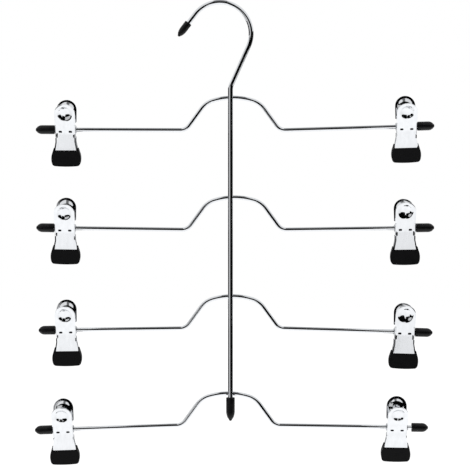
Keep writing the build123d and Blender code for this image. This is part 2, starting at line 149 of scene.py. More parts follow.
# Springs: steps along a leg and round a corner of the bridge, and how round the wire is.
LEG_STEPS = 4
BRIDGE_STEPS = 6
SPRING_ROUNDNESS = 3

# Camera: its aim, the middle of the hanger, and its place and lens. Lengths are in metres.
CAMERA_AIM = Vector((12.1, 0, -184.1)) * MM
CAMERA_DISTANCE = 1.4
CAMERA_ELEVATION = radians(2.3)
CAMERA_LENS = 133.6
CAMERA_CLIP = (0.05, 100)

# Floor: its height and size in metres, its tone, and the glow that lifts it to white. The studio is
# white too, but for matt surfaces only of the level below.
FLOOR_HEIGHT = -1.9
FLOOR_SIZE = 40
FLOOR_TONE = "#F4F4F4"
FLOOR_LIFT = 0.54
WHITE = (1, 1, 1, 1)
MATT_LEVEL = 0.6

# Lamps: name, way from the aim and size in metres, and watts. A soft key from the upper left, a
# weaker fill from the right and a weak light from behind.
LAMPS = (
    ("key", (-0.8, -1.2, 1.3), 1.2, 22),
    ("fill", (1.3, -1.0, 0.5), 1.0, 8),
    ("back", (0.3, 1.4, 0.9), 1.0, 8),
)

# Cards: name, axis, reach along the axis in metres, angles in degrees, and tone. Angles go round X
# from the front upwards, and round Z from the front to the right. The steps of a card turn by
# CARD_STEP degrees, and CARD_LINE is how thin the line is that sweeps it out.
CARDS = (
    ("front_card", "X", (-2.8, 2.8), (-13, 35), "#060606"),
    ("front_left_card", "X", (-2.8, -0.256), (-27, -13), "#060606"),
    ("arm_low_card", "X", (-0.256, 0.243), (-33, -13), "#060606"),
    ("arm_high_card", "X", (-0.264, 0.262), (35, 100), "#7C7C7C"),
    ("left_low_card", "X", (-2.8, -0.35), (-46, -27), "#060606"),
    ("right_low_card", "X", (0.37, 2.8), (-40, -13), "#060606"),
    ("spine_light_card", "Z", (-0.36, 0.36), (-66, -15.5), "#DADADA"),
    ("right_side_card", "Z", (-0.36, 0.36), (58, 104), "#060606"),
    ("right_back_card", "Z", (-0.36, 0.36), (104, 150), "#8A8A8A"),
    ("left_back_card", "Z", (-0.36, 0.36), (-150, -66), "#101010"),
)
CARD_RADII = {"X": 1.5, "Z": 1.46}
CARD_STEP = 2
CARD_LINE = 0.0001


def linear(hex_colour):
    """An sRGB hex colour as the linear numbers that shaders take."""
    parts = [int(hex_colour[place:place + 2], 16) / 255 for place in (1, 3, 5)]
    return [part / 12.92 if part <= 0.04045 else ((part + 0.055) / 1.055) ** 2.4 for part in parts]


def length(name, description, millimetres):
    """A length that the user can change, given here in millimetres."""
    return FloatProperty(
        name=name, description=description, default=millimetres * MM, subtype="DISTANCE", unit="LENGTH"
    )


def angle(name, description, turned):
    """An angle that the user can change, given here in degrees."""
    return FloatProperty(
        name=name, description=description, default=radians(turned), subtype="ANGLE", unit="ROTATION"
    )


def colour(name, description, hex_colour):
    """A colour that the user can change, given here as sRGB hex."""
    return FloatVectorProperty(
        name=name, description=description, default=linear(hex_colour), subtype="COLOR", min=0, max=1
    )


class WireSizes(bpy.types.PropertyGroup):
    """Sizes of the bent wires: the spine with its hook, and the four arms."""

    spine: length("Spine wire", "Diameter of the hook and spine wire", 4.0)
    arm: length("Arm wire", "Diameter of the arm wires", 3.5)
    hook_radius: length("Hook radius", "Radius of the hook to the middle of its wire", 25.0)
    hook_end: angle("Hook end", "How far the hook turns past its right side", 142.5)
    neck_lean: angle("Neck lean", "How far the neck leans from the upright", 24.0)
    hook_tail: length("Hook tail", "Straight run at the end of the hook", 18.5)
    neck_bend: length("Neck bend", "Radius where the neck meets the upright", 10.0)
    spine_x: length("Spine place", "How far right of the hook seat the upright runs", 8.45)
    spine_foot: length("Spine foot", "Drop from the hook seat to the foot of the wire", 330.5)
    crown_radius: length("Crown radius", "Radius of the top of an arch", 56.0)
    crown_turn: angle("Crown turn", "Turn of the crown to each side", 16.5)
    shoulder_radius: length("Shoulder radius", "Radius of an arch's shoulders", 18.0)
    flank_turn: angle("Flank turn", "How steeply the sides of an arch fall", 54.0)
    flank_run: length("Flank run", "Straight run down the side of an arch", 16.4)
    foot_radius: length("Foot radius", "Radius where an arch meets its arm", 9.0)


class CapSizes(bpy.types.PropertyGroup):
    """Sizes of the black caps on the wire ends."""

    end_radius: length("End cap radius", "Radius of a cap on an arm", 3.6)
    end_tip: length("End cap tip", "Radius of the rounded tip", 1.5)
    end_nose: length("End cap nose", "Length of the taper to the tip", 5.0)
    hook_length: length("Hook cap length", "Length of the cap on the hook", 13.5)
    hook_radius: length("Hook cap radius", "Radius of the cap on the hook", 2.95)
    hook_tip: length("Hook cap tip", "Radius of its rounded tip", 1.2)
    hook_nose: length("Hook cap nose", "Length of its taper", 7.0)
    foot_length: length("Foot cap length", "Length of the cap on the foot of the spine", 19.0)
    foot_radius: length("Foot cap radius", "Radius of the cap on the foot", 3.5)
    foot_tip: length("Foot cap tip", "Radius of its rounded tip", 1.3)
    foot_nose: length("Foot cap nose", "Length of its taper", 8.0)
    lip: length("Lip", "Rounding of the open end", 0.45)
    end_wall: length("End wall", "Solid vinyl beyond the end of the wire", 3.5)


class LeafSizes(bpy.types.PropertyGroup):
    """Sizes of the pressed steel leaves of a clip."""

    sheet: length("Sheet", "Thickness of the sheet", 0.8)
    width: length("Width", "Width of the handle and the upper body", 16.3)
    handle: length("Handle length", "From the tip of the handle to the knee", 25.96)
    splay: angle("Handle splay", "Lean of the handle from the middle of the clip", 17.2)
    standoff: length("Standoff", "From the rivet's middle square to the handle", 4.32)
    knee_drop: length("Knee drop", "Along the handle from the rivet's level to the knee", 1.28)
    knee_turn: angle("Knee turn", "Bend at the knee", 10.4)
    body: length("Body", "From the knee to the crease", 13.4)
    crease_turn: angle("Crease turn", "Bend at the crease above the boot", 3.8)
    jaw: length("Jaw", "From the crease to the end of the jaw", 12.9)
    flare_drop: length("Flare start", "Drop from the rivet to where the body widens", 9.5)
    flare_mid_drop: length("Flare middle", "Drop from the rivet to the top of the boot", 17.3)
    flare_end_drop: length("Flare end", "Drop from the rivet to the widest place", 26.0)
    flare_mid: length("Flare middle width", "Width at the top of the boot", 19.5)
    flare_end: length("Flare end width", "Width of the jaw", 21.4)
    corner: length("Jaw corner", "Radius of the jaw's lower corners", 2.0)
    dimple: length("Dimple radius", "Radius of the thumb dimple", 5.9)
    dimple_depth: length("Dimple depth", "Depth of the thumb dimple", 1.6)
    slot_spacing: length("Slot spacing", "Between the middles of the two slots", 8.0)
    slot_width: length("Slot width", "Width of a slot", 2.8)
    slot_height: length("Slot height", "Height of a slot", 1.7)
    slot_drop: length("Slot drop", "Drop from the rivet to the slots", 0.9)
    ear_radius: length("Ear radius", "Radius of an ear round the rivet", 3.4)
    ear_top: length("Ear top", "Height of the ears above the rivet, along the handle", 6.5)
    ear_bottom: length("Ear bottom", "Drop of the ears below the rivet", 6.0)
    ear_play: length("Ear play", "Gap between the back ears and the front ears", 0.2)
    ear_bend: length("Ear bend", "Radius of the fold to the middle of the sheet", 0.8)
    edge: length("Edge", "Rounding of the sheet's cut edges", 0.32)


class RivetSizes(bpy.types.PropertyGroup):
    """Sizes of the hollow rivet that a clip turns on."""

    radius: length("Rivet radius", "Outer radius of the rivet", 2.35)
    bore: length("Rivet bore", "Radius of the bore that slides on the arm", 1.85)
    play: length("Hole play", "Gap between the rivet and the ears", 0.05)
    rim: length("Rim", "Thickness of the rolled rims", 0.35)
    rim_radius: length("Rim radius", "Radius of the rolled rims", 3.1)
    rim_play: length("Rim play", "Gap between a rim and its ear", 0.1)


class SpringSizes(bpy.types.PropertyGroup):
    """Sizes of the double torsion spring round the rivet."""

    wire: length("Spring wire", "Diameter of the spring wire", 0.9)
    coil: length("Coil radius", "Radius of the coils to the middle of the wire", 3.05)
    pitch: length("Pitch", "Advance of a coil in one turn", 1.36)
    turns: IntProperty(name="Whole turns", description="Whole turns of each coil", default=2, min=1)
    splay: angle("Leg splay", "Lean of the legs and the bridge", 18.6)
    leg: length("Leg", "Length of a leg on the front handle", 11.0)
    bridge: length("Bridge run", "Straight run of the bridge on the back handle", 8.08)
    side_play: length("Side play", "Gap between a coil and the ear beside it", 0.74)


class BootSizes(bpy.types.PropertyGroup):
    """Sizes of the soft boots on the jaws."""

    top_drop: length("Top", "Drop from the rivet to the top of a boot", 17.3)
    bottom_drop: length("Bottom", "Drop from the rivet to the bottom of a boot", 29.8)
    low_drop: length("Corners", "Drop from the rivet to the lower corners", 29.4)
    belly_drop: length("Belly", "Drop from the rivet to the widest place", 23.8)
    top_width: length("Top width", "Width at the top", 21.2)
    width: length("Belly width", "Width at the widest place", 23.9)
    low_width: length("Low width", "Width above the lower corners", 23.2)
    corner: length("Corner", "Radius of the lower corners", 2.8)
    skin: length("Skin", "Thickness of the soft skin on the sheet", 0.9)
    rim_width: length("Rim width", "Width of the raised rims at the sides", 1.2)
    rim_rise: length("Rim rise", "Height of the raised rims", 2.3)
    gap: length("Jaw gap", "Gap between the two closed boots", 0.3)
    rounding: length("Rounding", "Rounding of the soft edges", 0.55)


class Finishes(bpy.types.PropertyGroup):
    """Colours of the finishes."""

    chrome: colour("Chrome plate", "Bright chrome plate on the wires", "#DCDEE1")
    sheet: colour("Plated sheet", "Nickel and chrome plate on the pressed leaves", "#E4E6E9")
    rivet: colour("Rivet plate", "Plate on the hollow rivets", "#C9CBCF")
    spring: colour("Spring wire", "Oil tempered spring steel", "#38393B")
    vinyl: colour("Cap vinyl", "Soft black vinyl of the caps", "#060607")
    dip: colour("Boot vinyl", "Black dipped vinyl of the boots", "#0A0A0B")


GROUPS = {
    "hanger_wires": WireSizes,
    "hanger_caps": CapSizes,
    "hanger_leaves": LeafSizes,
    "hanger_rivets": RivetSizes,
    "hanger_springs": SpringSizes,
    "hanger_boots": BootSizes,
    "hanger_finishes": Finishes,
}


# Modelling helpers

def deselect():
    """Goes to object mode with nothing selected."""
    if bpy.context.mode != "OBJECT":
        bpy.ops.object.mode_set(mode="OBJECT")
    bpy.ops.object.select_all(action="DESELECT")


def hold(piece):
    """Makes a piece the active one and the only one selected."""
    deselect()
    piece.select_set(True)
    bpy.context.view_layer.objects.active = piece


def begin(name, add, **settings):
    """Adds a primitive under a name and opens it in edit mode, all of it selected."""
    deselect()
    add(**settings)
    bpy.context.object.name = name
    bpy.ops.object.transform_apply()
    bpy.ops.object.mode_set(mode="EDIT")
    bpy.ops.mesh.select_mode(type="VERT")


def reopen(piece):
    """Opens a piece in edit mode once more, all of it selected."""
    hold(piece)
    bpy.ops.object.mode_set(mode="EDIT")
    bpy.ops.mesh.select_all(action="SELECT")


def pick(test):
    """Selects the vertices of the mesh in hand whose place passes a test, and what lies between them."""
    bpy.ops.mesh.select_all(action="DESELECT")
    mesh = bmesh.from_edit_mesh(bpy.context.object.data)
    for vertex in mesh.verts:
        if test(vertex.co):
            vertex.select_set(True)
    mesh.select_flush(True)
    bmesh.update_edit_mesh(bpy.context.object.data)


def near(value, target, slack=HAIR):
    """Whether a place lies on a line, within a hair."""
    return abs(value - target) < slack


def extrude(*offset):
    """Extrudes what is selected by an offset."""
    bpy.ops.mesh.extrude_region_move(TRANSFORM_OT_translate={"value": offset})


def move(*offset):
    """Moves what is selected."""
    bpy.ops.transform.translate(value=offset)


def scale(factors, centre):
    """Scales what is selected about a point."""
    bpy.ops.transform.resize(value=factors, center_override=centre)


def turn(by, axis, centre):
    """Turns what is selected about an axis through a point, by the right hand as run with no window."""
    axes = [axis == each for each in "XYZ"]
    bpy.ops.transform.rotate(value=by, orient_axis=axis, constraint_axis=axes, center_override=centre)


def modify(piece, kind, **settings):
    """Adds a modifier with its settings and applies it."""
    bpy.context.view_layer.objects.active = piece
    modifier = piece.modifiers.new(kind.title(), kind)
    for name, value in settings.items():
        setattr(modifier, name, value)
    bpy.ops.object.modifier_apply(modifier=modifier.name)


def round_edges(piece, width, segments):
    """Rounds the sharp edges of a piece."""
    modify(piece, "BEVEL", width=width, segments=segments, limit_method="ANGLE", angle_limit=EDGE_TURN)


def outward():
    """Merges doubles and turns every face of the closed mesh in hand outwards."""
    bpy.ops.mesh.select_all(action="SELECT")
    bpy.ops.mesh.remove_doubles(threshold=WELD)
    bpy.ops.mesh.normals_make_consistent(inside=False)


def face(front):
    """Mirrors what is selected to the front of its clip where asked, and turns its faces outwards."""
    if front:
        scale((1, -1, 1), (0, 0, 0))
    bpy.ops.mesh.normals_make_consistent(inside=False)


def close_edit(smooth):
    """Ends edit mode and shades the piece smooth but for edges that turn by more than an angle."""
    bpy.ops.object.mode_set(mode="OBJECT")
    bpy.ops.object.shade_smooth_by_angle(angle=smooth)
    return bpy.context.object


def settle(piece, place):
    """Puts a place in the mesh of a piece, whose own place stays at the origin."""
    piece.data.transform(place)
    piece.data.update()
    return piece


def copy_of(master, name, place):
    """A copy of a finished piece with its own mesh, set in its place."""
    piece = bpy.data.objects.new(name, master.data.copy())
    bpy.context.scene.collection.objects.link(piece)
    return settle(piece, place)


def dress(piece, finish, slot, body, *nodes):
    """Gives a piece its finish and its body, and hides the nodes that it stands for."""
    piece.data.materials.clear()
    piece.data.materials.append(finish)
    if body:
        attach(piece, body)
    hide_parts(*nodes)


def copy_to_clips(master, finish, slot, name, body, node):
    """Copies a master to the eight clips, with each name led by its clip's, and removes it."""
    for tier, side in CLIPS:
        clip = f"tier{tier}_{side}"
        piece = copy_of(master, f"{clip}_{name}", clip_place(tier, side))
        dress(piece, finish, slot, f"{clip}_{body}", f"{clip}_{node}")
    bpy.data.objects.remove(master)


def lathe(name, rings, sides, closed_end=True):
    """A turned piece along Z: a ring for each (height, radius), the last one drawn to a point."""
    (last_z, last_radius), *others = rings
    begin(name, bpy.ops.mesh.primitive_circle_add, vertices=sides, radius=last_radius,
          location=(0, 0, last_z))
    for z, radius in others:
        extrude(0, 0, z - last_z)
        scale((radius / last_radius, radius / last_radius, 1), (0, 0, z))
        last_z, last_radius = z, radius
    if closed_end:
        bpy.ops.mesh.merge(type="CENTER")
    outward()
    return close_edit(SMOOTH_TURNED)


# Places taken from the frame

def surface_middle(*names):
    """The middle of the surfaces of some nodes."""
    total, weight = Vector(), 0
    for name in names:
        for polygon in frame["nodes"][name].data.polygons:
            total += polygon.center * polygon.area
            weight += polygon.area
    return total / weight


def clip_place(tier, side):
    """A clip's own axes: X to the right along its arm, Y to the back and Z up from the rivet."""
    clip = f"tier{tier}_{side}"
    swing = JOINTS[clip + "_swing"]
    pivot, right = Vector(swing["pos_m"]), Vector(swing["axis"]).normalized()
    up = pivot - surface_middle(clip + "_front_boot", clip + "_back_boot")
    up = (up - right * up.dot(right)).normalized()
    turned = Matrix((right, up.cross(right), up)).transposed().to_4x4()
    return Matrix.Translation(pivot) @ turned


# Finishes

def add_node(tree, kind, settings=None, links=None):
    """Adds a node, sets its sockets and options by name, and links what feeds it."""
    node = tree.nodes.new(kind)
    for name, value in (settings or {}).items():
        if isinstance(name, int) or name in node.inputs:
            node.inputs[name].default_value = value
        else:
            setattr(node, name, value)
    for name, source in (links or {}).items():
        tree.links.new(source, node.inputs[name])
    return node


def blank_material(name):
    """A material with an empty tree, and that tree."""
    material = bpy.data.materials.new(name)
    material.use_nodes = True
    material.node_tree.nodes.clear()
    return material, material.node_tree


class Finish:
    """A material with a surface shader, whose patterns are set by their place on the object."""

    def __init__(self, name, metallic=0, specular=0.5):
        self.material, self.tree = blank_material(name)
        settings = {"Metallic": metallic, "Specular IOR Level": specular}
        self.shader = add_node(self.tree, "ShaderNodeBsdfPrincipled", settings)
        add_node(self.tree, "ShaderNodeOutputMaterial", None, {"Surface": self.shader.outputs["BSDF"]})
        self.place = add_node(self.tree, "ShaderNodeTexCoord").outputs["Object"]

    def noise(self, size, detail=2, stretch=(1, 1, 1)):
        """A noise pattern whose grains are about that size in metres, drawn out by the stretch."""
        drawn = {"Scale": [1 / part for part in stretch]}
        mapping = add_node(self.tree, "ShaderNodeMapping", drawn, {"Vector": self.place})
        grain = add_node(self.tree, "ShaderNodeTexNoise", {"Scale": 1 / size, "Detail": detail},
                         {"Vector": mapping.outputs["Vector"]})
        return grain.outputs["Fac"]

    def roughen(self, pattern, low, high):
        """Lets a pattern set the roughness between two levels."""
        settings = {"From Min": NOISE_LOW, "From Max": NOISE_HIGH, "To Min": low, "To Max": high}
        level = add_node(self.tree, "ShaderNodeMapRange", settings, {"Value": pattern})
        self.tree.links.new(level.outputs["Result"], self.shader.inputs["Roughness"])

    def tint(self, pattern, name, first, second):
        """Lets a pattern set the colour between a named one times a factor and times another."""
        own = getattr(bpy.context.scene.hanger_finishes, name)
        dark, light = ([min(1, part * factor) for part in own] for factor in (first, second))
        settings = {"data_type": "RGBA", 6: (*dark, 1), 7: (*light, 1)}
        mix = add_node(self.tree, "ShaderNodeMix", settings, {0: pattern})
        self.tree.links.new(mix.outputs[2], self.shader.inputs["Base Color"])

    def emboss(self, pattern, height):
        """Lets a pattern raise the surface by a height in metres."""
        bump = add_node(self.tree, "ShaderNodeBump", {"Distance": height}, {"Height": pattern})
        self.tree.links.new(bump.outputs["Normal"], self.shader.inputs["Normal"])


def chrome_wire():
    """Bright chrome plate on drawn wire: mirror bright, with dull handling marks and a fine grain."""
    finish = Finish("bright chrome plate on drawn wire", metallic=1)
    # Handling marks of about 9 mm, and a faint cloud of 25 mm.
    finish.roughen(finish.noise(9 * MM, detail=3), 0.03, 0.09)
    finish.tint(finish.noise(25 * MM, detail=1), "chrome", 0.93, 1)
    # Plating grain is finer than this; half a millimetre is what shows.
    finish.emboss(finish.noise(0.5 * MM, detail=1), 0.0004 * MM)
    return finish.material


def plated_sheet():
    """Plated pressed steel: satin mirror with soft drawn streaks down the leaf and a faint orange peel."""
    finish = Finish("nickel chrome plate on pressed sheet", metallic=1)
    # Streaks about 2 mm wide and 30 mm long.
    streaks = finish.noise(2.2 * MM, detail=3, stretch=(1, 1, 14))
    finish.roughen(streaks, 0.03, 0.07)
    finish.tint(streaks, "sheet", 0.8, 1)
    # Orange peel of about a millimetre, a few microns high.
    finish.emboss(finish.noise(1.2 * MM, detail=1, stretch=(1, 1, 3)), 0.003 * MM)
    return finish.material


def rivet_plate():
    """Plated tube rivet: bright, a little rubbed where the rims were rolled."""
    finish = Finish("plate on rolled tube rivet", metallic=1)
    # Rub marks of under a millimetre.
    rub = finish.noise(0.8 * MM)
    finish.roughen(rub, 0.16, 0.34)
    finish.tint(rub, "rivet", 0.8, 1)
    return finish.material


def spring_steel():
    """Oil tempered spring steel: near black, with a dull and mottled sheen."""
    finish = Finish("oil tempered spring wire", metallic=1)
    # Mottling finer than the wire is thick.
    dull = finish.noise(0.6 * MM)
    finish.roughen(dull, 0.28, 0.45)
    finish.tint(dull, "spring", 0.7, 1)
    return finish.material


def cap_vinyl():
    """Dip moulded vinyl cap: deep black, semi-gloss, with a soft waviness and a dusty bloom."""
    finish = Finish("semi gloss dip moulded vinyl", specular=0.22)
    # Bloom in spots of 2.5 mm.
    bloom = finish.noise(2.5 * MM, detail=3)
    finish.roughen(bloom, 0.3, 0.42)
    finish.tint(bloom, "vinyl", 1, 1.8)
    # Waves of about 2 mm, a few hundredths of a millimetre high.
    finish.emboss(finish.noise(1.8 * MM), 0.03 * MM)
    return finish.material


def boot_vinyl():
    """Plastisol dip on the jaws: satin black with a fine pebble and slight colour drift."""
    finish = Finish("satin plastisol dip", specular=0.08)
    # Colour drift over about 4 mm.
    drift = finish.noise(4 * MM, detail=3)
    finish.roughen(drift, 0.42, 0.6)
    finish.tint(drift, "dip", 1, 1.6)
    # Pebble of a third of a millimetre, as fine as the render can show.
    finish.emboss(finish.noise(0.35 * MM), 0.015 * MM)
    return finish.material


# Wires

class Wire:
    """A wire drawn from its cut end in a plane of X and Z, with the place and heading of its open end."""

    def __init__(self, name, diameter, x, y, z, heading):
        self.x, self.y, self.z, self.heading = x, y, z, heading
        begin(name, bpy.ops.mesh.primitive_circle_add, vertices=WIRE_SIDES, radius=diameter / 2,
              fill_type="NGON", location=(0, 0, 0))
        turn(pi / 2 - heading, "Y", (0, 0, 0))
        move(x, y, z)

    def run(self, distance):
        """Draws the wire straight on."""
        dx, dz = distance * cos(self.heading), distance * sin(self.heading)
        extrude(dx, 0, dz)
        self.x, self.z = self.x + dx, self.z + dz

    def bend(self, radius, by):
        """Bends the wire round a point beside it."""
        side = copysign(1, by)
        centre = Vector((self.x - side * radius * sin(self.heading), self.y,
                         self.z + side * radius * cos(self.heading)))
        steps = max(2, round(abs(by) / BEND_STEP))
        bpy.ops.mesh.spin(steps=steps, angle=abs(by), center=centre, axis=(0, side, 0))
        self.heading += by
        self.x = centre.x + side * radius * sin(self.heading)
        self.z = centre.z - side * radius * cos(self.heading)


class HANGER_OT_spine(bpy.types.Operator):
    """Bend the spine wire: its foot, upright, neck, hook and tail."""

    bl_idname = "hanger.spine"
    bl_label = "Spine and hook"

    def execute(self, context):
        sizes = context.scene.hanger_wires
        lean, radius = sizes.neck_lean, sizes.hook_radius
        neck_x = radius * cos(lean)
        neck_drop = radius - sizes.spine / 2 + radius * sin(lean)
        corner_drop = neck_drop + (neck_x - sizes.spine_x) / tan(lean)
        trim = sizes.neck_bend * tan(lean / 2)
        neck_run = hypot(neck_x - sizes.spine_x, corner_drop - neck_drop) - trim
        wire = Wire("spine_wire", sizes.spine, sizes.spine_x, 0, -sizes.spine_foot, pi / 2)
        wire.run(sizes.spine_foot - corner_drop - trim)
        wire.bend(sizes.neck_bend, -lean)
        wire.run(neck_run)
        wire.bend(radius, sizes.hook_end + lean)
        wire.run(sizes.hook_tail)
        outward()
        dress(close_edit(SMOOTH_SOFT), chrome_wire(), "chromed_wire", "frame", "spine_hook")
        return {"FINISHED"}


def slope_of(tier, side):
    """How steeply an arm rises towards its end, from the axis that its clip slides along."""
    axis = Vector(JOINTS[f"tier{tier}_{side}_swing"]["axis"])
    return atan2(axis.z, axis.x) * (1 if side == "right" else -1)


def arch_half(sizes, slope):
    """How far the foot of an arch lies from its crown: outwards and down."""
    crown, flank = sizes.crown_turn, sizes.flank_turn
    out = sizes.crown_radius * sin(crown)
    out += sizes.shoulder_radius * (sin(flank) - sin(crown))
    out += sizes.flank_run * cos(flank)
    out += sizes.foot_radius * (sin(flank) + sin(slope))
    down = sizes.crown_radius * (1 - cos(crown))
    down += sizes.shoulder_radius * (cos(crown) - cos(flank))
    down += sizes.flank_run * sin(flank)
    down += sizes.foot_radius * (cos(slope) - cos(flank))
    return out, down


class HANGER_OT_arms(bpy.types.Operator):
    """Bend the four arm wires, each with an arch in its middle that crosses behind the spine."""

    bl_idname = "hanger.arms"
    bl_label = "Arms"

    def execute(self, context):
        finish = chrome_wire()
        for tier in TIERS:
            arm = self.bend_arm(context.scene.hanger_wires, tier)
            dress(arm, finish, "chromed_wire", "frame", f"tier{tier}_arm")
        return {"FINISHED"}

    def bend_arm(self, sizes, tier):
        """One arm, from its left end to its right end, its crown where its node is highest."""
        node = f"tier{tier}_arm"
        low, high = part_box(node)
        top = max((vertex.co for vertex in frame["nodes"][node].data.vertices), key=lambda place: place.z)
        left, right = slope_of(tier, "left"), slope_of(tier, "right")
        out, down = arch_half(sizes, left)
        foot_x = top.x - out
        start_z = top.z - sizes.arm / 2 - down + (foot_x - low.x) * tan(left)
        wire = Wire(f"{node}_wire", sizes.arm, low.x, (low.y + high.y) / 2, start_z, -left)
        wire.run((foot_x - low.x) / cos(left))
        wire.bend(sizes.foot_radius, sizes.flank_turn + left)
        wire.run(sizes.flank_run)
        wire.bend(sizes.shoulder_radius, sizes.crown_turn - sizes.flank_turn)
        wire.bend(sizes.crown_radius, -2 * sizes.crown_turn)
        wire.bend(sizes.shoulder_radius, sizes.crown_turn - sizes.flank_turn)
        wire.run(sizes.flank_run)
        wire.bend(sizes.foot_radius, sizes.flank_turn + right)
        wire.run((high.x - wire.x) / cos(right))
        outward()
        return close_edit(SMOOTH_SOFT)


# Caps

def mould_cap(name, form, wire, lip, start, along):
    """A cap turned along Z from inside its open end to its round tip, then set along a wire's end."""
    total, radius, tip, nose = form
    soft, shoulder = LIP_SHARE * lip, total - nose
    rings = [(lip, wire / 2), (soft, wire / 2 + soft), (0, wire / 2 + lip), (0, radius - lip),
             (soft, radius - soft), (lip, radius), (0.5 * shoulder, radius)]
    for step in range(NOSE_STEPS + 1):
        share = step / NOSE_STEPS
        swell = (1 - share**2) ** NOSE_FULLNESS
        rings.append((shoulder + nose * share * (1 - BALL_SHARE), tip + (radius - tip) * swell))
    flat = shoulder + nose * (1 - BALL_SHARE)
    for step in range(1, BALL_STEPS):
        around = step / BALL_STEPS * pi / 2
        rings.append((flat + nose * BALL_SHARE * sin(around), tip * cos(around)))
    rings.append((total, tip * CAP_END_SHARE))
    turned = along.to_track_quat("Z", "Y").to_matrix().to_4x4()
    return settle(lathe(name, rings, CAP_SIDES), Matrix.Translation(start) @ turned)


class HANGER_OT_caps(bpy.types.Operator):
    """Mould the black caps of the arms, of the hook and of the foot of the spine."""

    bl_idname = "hanger.caps"
    bl_label = "Caps"

    def execute(self, context):
        sizes, wires = context.scene.hanger_caps, context.scene.hanger_wires
        finish = cap_vinyl()
        for tier in TIERS:
            for side in SIDES:
                cap = self.end_cap(tier, side, sizes, wires)
                dress(cap, finish, "cap_vinyl", "frame", f"tier{tier}_end_caps")
        dress(self.hook_cap(sizes, wires), finish, "cap_vinyl", "frame", "hook_cap")
        dress(self.foot_cap(sizes, wires), finish, "cap_vinyl", "frame", "spine_foot_cap")
        return {"FINISHED"}

    def end_cap(self, tier, side, sizes, wires):
        """A cap on an arm, from its open end beside the clip to its tip, as long as its node."""
        node = f"tier{tier}_end_caps"
        sign = 1 if side == "right" else -1
        slope = slope_of(tier, side)
        pivot = Vector(JOINTS[f"tier{tier}_{side}_swing"]["pos_m"])
        along = Vector((sign * cos(slope), 0, sin(slope)))
        tip = pivot + along * (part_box(node)[side == "right"].x - pivot.x) / along.x
        places = [vertex.co.x for vertex in frame["nodes"][node].data.vertices if vertex.co.x * sign > 0]
        inner = min(places, key=abs)
        total = (tip.x - inner) / along.x
        form = (total, sizes.end_radius, sizes.end_tip, sizes.end_nose)
        return mould_cap(f"tier{tier}_{side}_end_cap", form, wires.arm, sizes.lip, tip - along * total, along)

    def hook_cap(self, sizes, wires):
        """The cap on the tip of the hook."""
        turned, radius = wires.hook_end, wires.hook_radius
        centre_z = wires.spine / 2 - radius
        leave = Vector((radius * cos(turned), 0, centre_z + radius * sin(turned)))
        along = Vector((-sin(turned), 0, cos(turned)))
        start = leave + along * (wires.hook_tail - sizes.hook_length + sizes.end_wall)
        form = (sizes.hook_length, sizes.hook_radius, sizes.hook_tip, sizes.hook_nose)
        return mould_cap("hook_tip_cap", form, wires.spine, sizes.lip, start, along)

    def foot_cap(self, sizes, wires):
        """The cap on the foot of the spine."""
        start = Vector((wires.spine_x, 0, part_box("spine_foot_cap")[1].z))
        form = (sizes.foot_length, sizes.foot_radius, sizes.foot_tip, sizes.foot_nose)
        return mould_cap("spine_foot_tip_cap", form, wires.spine, sizes.lip, start, Vector((0, 0, -1)))


# Clip leaves

def knee_of(sizes):
    """The depth and the height of a leaf's knee from the rivet, and the lean of the body below it."""
    y = sizes.standoff * cos(sizes.splay) - sizes.knee_drop * sin(sizes.splay)
    z = -sizes.standoff * sin(sizes.splay) - sizes.knee_drop * cos(sizes.splay)
    return y, z, sizes.splay - sizes.knee_turn


def dimple_height(share, sizes):
    """How deep the thumb dimple is at a share of its radius."""
    if share > 1:
        return 0
    if share == 1:
        return RIM_DEPTH_SHARE * sizes.dimple_depth
    return sizes.dimple_depth * (1 - share**DIMPLE_FULLNESS)


def press_handle(sizes):
    """The round end of the handle with its dimple, down to a square lower edge whose height it gives."""
    half = sizes.width / 2
    middle = sizes.handle - half
    rings = [(share * sizes.dimple, -dimple_height(share, sizes)) for share in RING_SHARES]
    rings += [((rings[-1][0] + half) / 2, 0), (half, 0)]
    (radius, y), *others = rings
    begin("leaf", bpy.ops.mesh.primitive_circle_add, vertices=CIRCLE_SIDES, radius=radius,
          fill_type="TRIFAN", location=(0, y, middle), rotation=(pi / 2, 0, 0))

    def away(place):
        return hypot(place.x, place.z - middle)

    pick(lambda place: near(place.x, 0) and near(place.z, middle))
    move(0, -y - sizes.dimple_depth, 0)
    pick(lambda place: away(place) > radius / 2)
    for next_radius, next_y in others:
        extrude(0, next_y - y, 0)
        factor = next_radius / radius
        scale((factor, 1, factor), (0, next_y, middle))
        radius, y = next_radius, next_y
    corner = middle - half * sqrt(0.5)
    pick(lambda place: away(place) > half - HAIR and place.z < corner + HAIR)
    scale((sqrt(2), 1, 0), (0, 0, middle - half))
    for side in (-1, 1):
        pick(lambda place: away(place) > half - HAIR and place.x * side > 0
             and corner + 2 * HAIR < place.z < middle - HAIR)
        scale((0, 1, sqrt(2)), (side * half, 0, middle))
    return middle - half


def widths_down(sizes):
    """The rows of the body and the jaw below the ears, each a height from the knee and a width."""
    knee_z, body_lean = knee_of(sizes)[1:]
    rows = [(sizes.flare_drop, sizes.width), (sizes.flare_mid_drop, sizes.flare_mid),
            (sizes.flare_end_drop, sizes.flare_end)]
    first, second, third = [(-(drop + knee_z) / cos(body_lean), width) for drop, width in rows]
    crease = (second[1] - first[1]) * (-sizes.body - first[0]) / (second[0] - first[0]) + first[1]
    half_way = ((first[0] - sizes.body) / 2, (first[1] + crease) / 2)
    corner = []
    for step in range(CORNER_STEPS + 1):
        around = pi / 2 / CORNER_STEPS * step
        corner.append((-sizes.body - sizes.jaw + sizes.corner * (1 - sin(around)),
                       sizes.flare_end - 2 * sizes.corner * (1 - cos(around))))
    return [first, half_way, (-sizes.body, crease), second, third, *corner]


